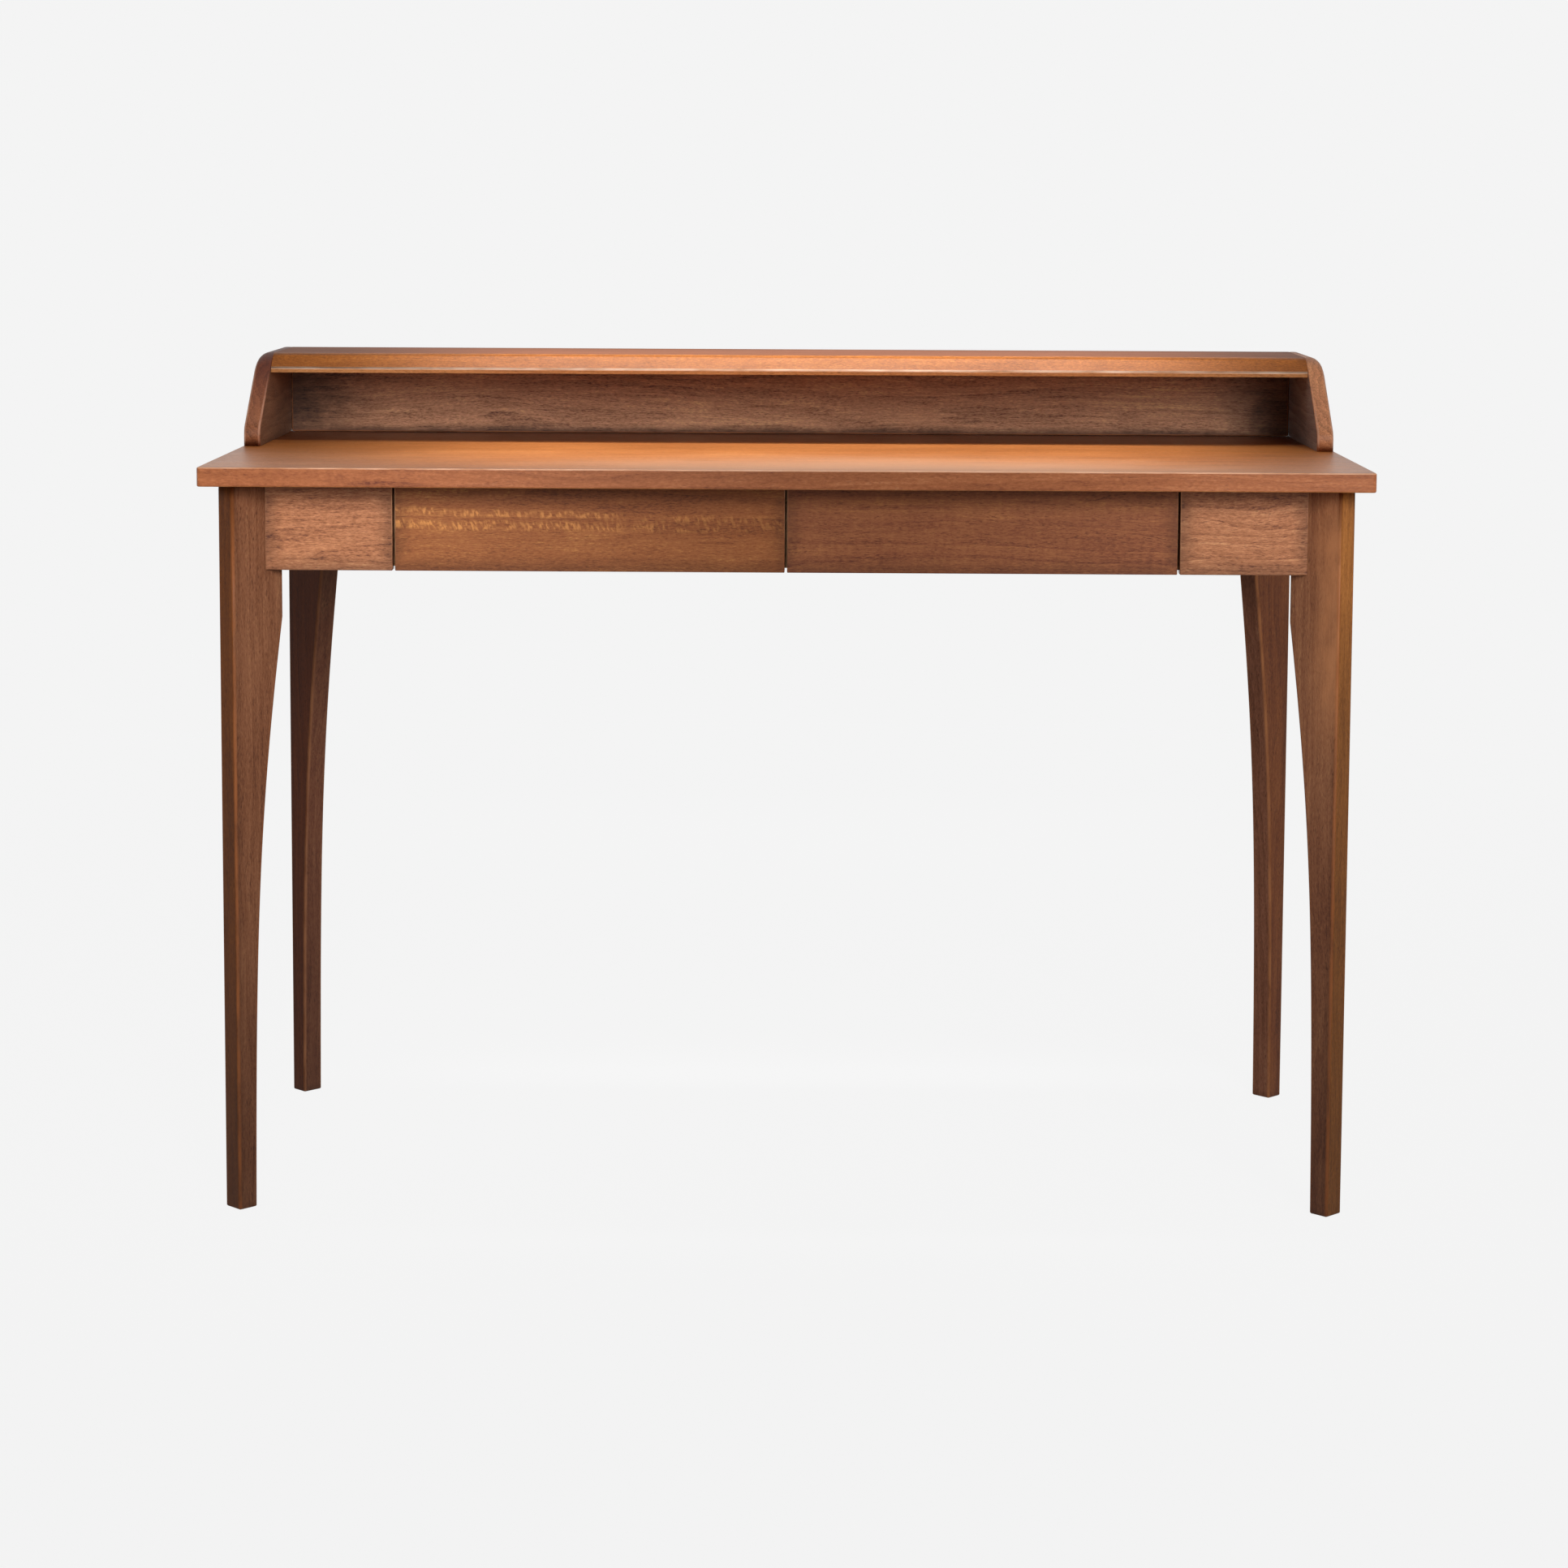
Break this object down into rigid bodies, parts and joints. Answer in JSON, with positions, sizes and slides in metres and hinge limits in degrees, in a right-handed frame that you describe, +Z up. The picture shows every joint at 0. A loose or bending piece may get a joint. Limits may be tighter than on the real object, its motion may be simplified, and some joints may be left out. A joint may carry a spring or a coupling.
{
  "type": "computer desk",
  "caption": "Wooden writing desk with a low shelf along the back of its top, drawers in its front apron and tapered legs set on the diagonal.",
  "frame": {"origin": "on the floor under the middle of the tabletop, which is the middle of the bottom of the whole desk's box", "axes": "+Z up, +X along the tabletop to the right of a person who sits at the desk, -Y towards that person, +Y towards the wall"},
  "size_m": [1.2, 0.55, 0.878],
  "materials": {
    "top_wood": "red-brown stained hardwood, semi-gloss lacquer, long straight grain",
    "leg_wood": "red-brown stained hardwood, semi-gloss lacquer, upright grain",
    "panel_wood": "red-brown stained hardwood, satin lacquer, wavy grain",
    "drawer_wood": "red-brown stained hardwood, satin lacquer, light fleck",
    "hutch_wood": "darker stained hardwood, satin lacquer, long grain",
    "inner_wood": "bare hardwood with a thin sealing coat, inside the desk",
    "plywood": "sealed plywood drawer bottom",
    "plated_steel": "zinc-plated steel fasteners"
  },
  "bodies": {
    "desk_frame": {"back_apron": "panel_wood", "corner_block_front_left": "inner_wood", "corner_block_front_right": "inner_wood", "corner_block_rear_left": "inner_wood", "corner_block_rear_right": "inner_wood", "divider_left": "inner_wood", "divider_middle": "inner_wood", "divider_right": "inner_wood", "drawer_stop_left": "inner_wood", "drawer_stop_right": "inner_wood", "front_panel_left": "panel_wood", "front_panel_right": "panel_wood", "front_rail": "inner_wood", "hanger_bolt_front_left_lower": "plated_steel", "hanger_bolt_front_left_upper": "plated_steel", "hanger_bolt_front_right_lower": "plated_steel", "hanger_bolt_front_right_upper": "plated_steel", "hanger_bolt_rear_left_lower": "plated_steel", "hanger_bolt_rear_left_upper": "plated_steel", "hanger_bolt_rear_right_lower": "plated_steel", "hanger_bolt_rear_right_upper": "plated_steel", "hutch_back": "hutch_wood", "hutch_dowel_left_front": "inner_wood", "hutch_dowel_left_rear": "inner_wood", "hutch_dowel_right_front": "inner_wood", "hutch_dowel_right_rear": "inner_wood", "hutch_shelf": "top_wood", "hutch_side_left": "hutch_wood", "hutch_side_right": "hutch_wood", "leg_front_left": "leg_wood", "leg_front_right": "leg_wood", "leg_rear_left": "leg_wood", "leg_rear_right": "leg_wood", "runner_left_drawer_left": "inner_wood", "runner_left_drawer_right": "inner_wood", "runner_right_drawer_left": "inner_wood", "runner_right_drawer_right": "inner_wood", "shelf_dowel_left_front": "inner_wood", "shelf_dowel_left_rear": "inner_wood", "shelf_dowel_right_front": "inner_wood", "shelf_dowel_right_rear": "inner_wood", "side_apron_left": "panel_wood", "side_apron_right": "panel_wood", "tabletop": "top_wood", "top_screw_front_left": "plated_steel", "top_screw_front_right": "plated_steel", "top_screw_rear_left": "plated_steel", "top_screw_rear_right": "plated_steel"},
    "drawer_left": {"drawer_left_back": "inner_wood", "drawer_left_bottom": "plywood", "drawer_left_front": "drawer_wood", "drawer_left_side_left": "inner_wood", "drawer_left_side_right": "inner_wood"},
    "drawer_right": {"drawer_right_back": "inner_wood", "drawer_right_bottom": "plywood", "drawer_right_front": "drawer_wood", "drawer_right_side_left": "inner_wood", "drawer_right_side_right": "inner_wood"}
  },
  "joints": [
    {"name": "drawer_left_slide", "type": "slide", "parent": "desk_frame", "child": "drawer_left", "axis": [0, -1, 0], "range_m": [0, 0.27]},
    {"name": "drawer_right_slide", "type": "slide", "parent": "desk_frame", "child": "drawer_right", "axis": [0, -1, 0], "range_m": [0, 0.27]}
  ]
}
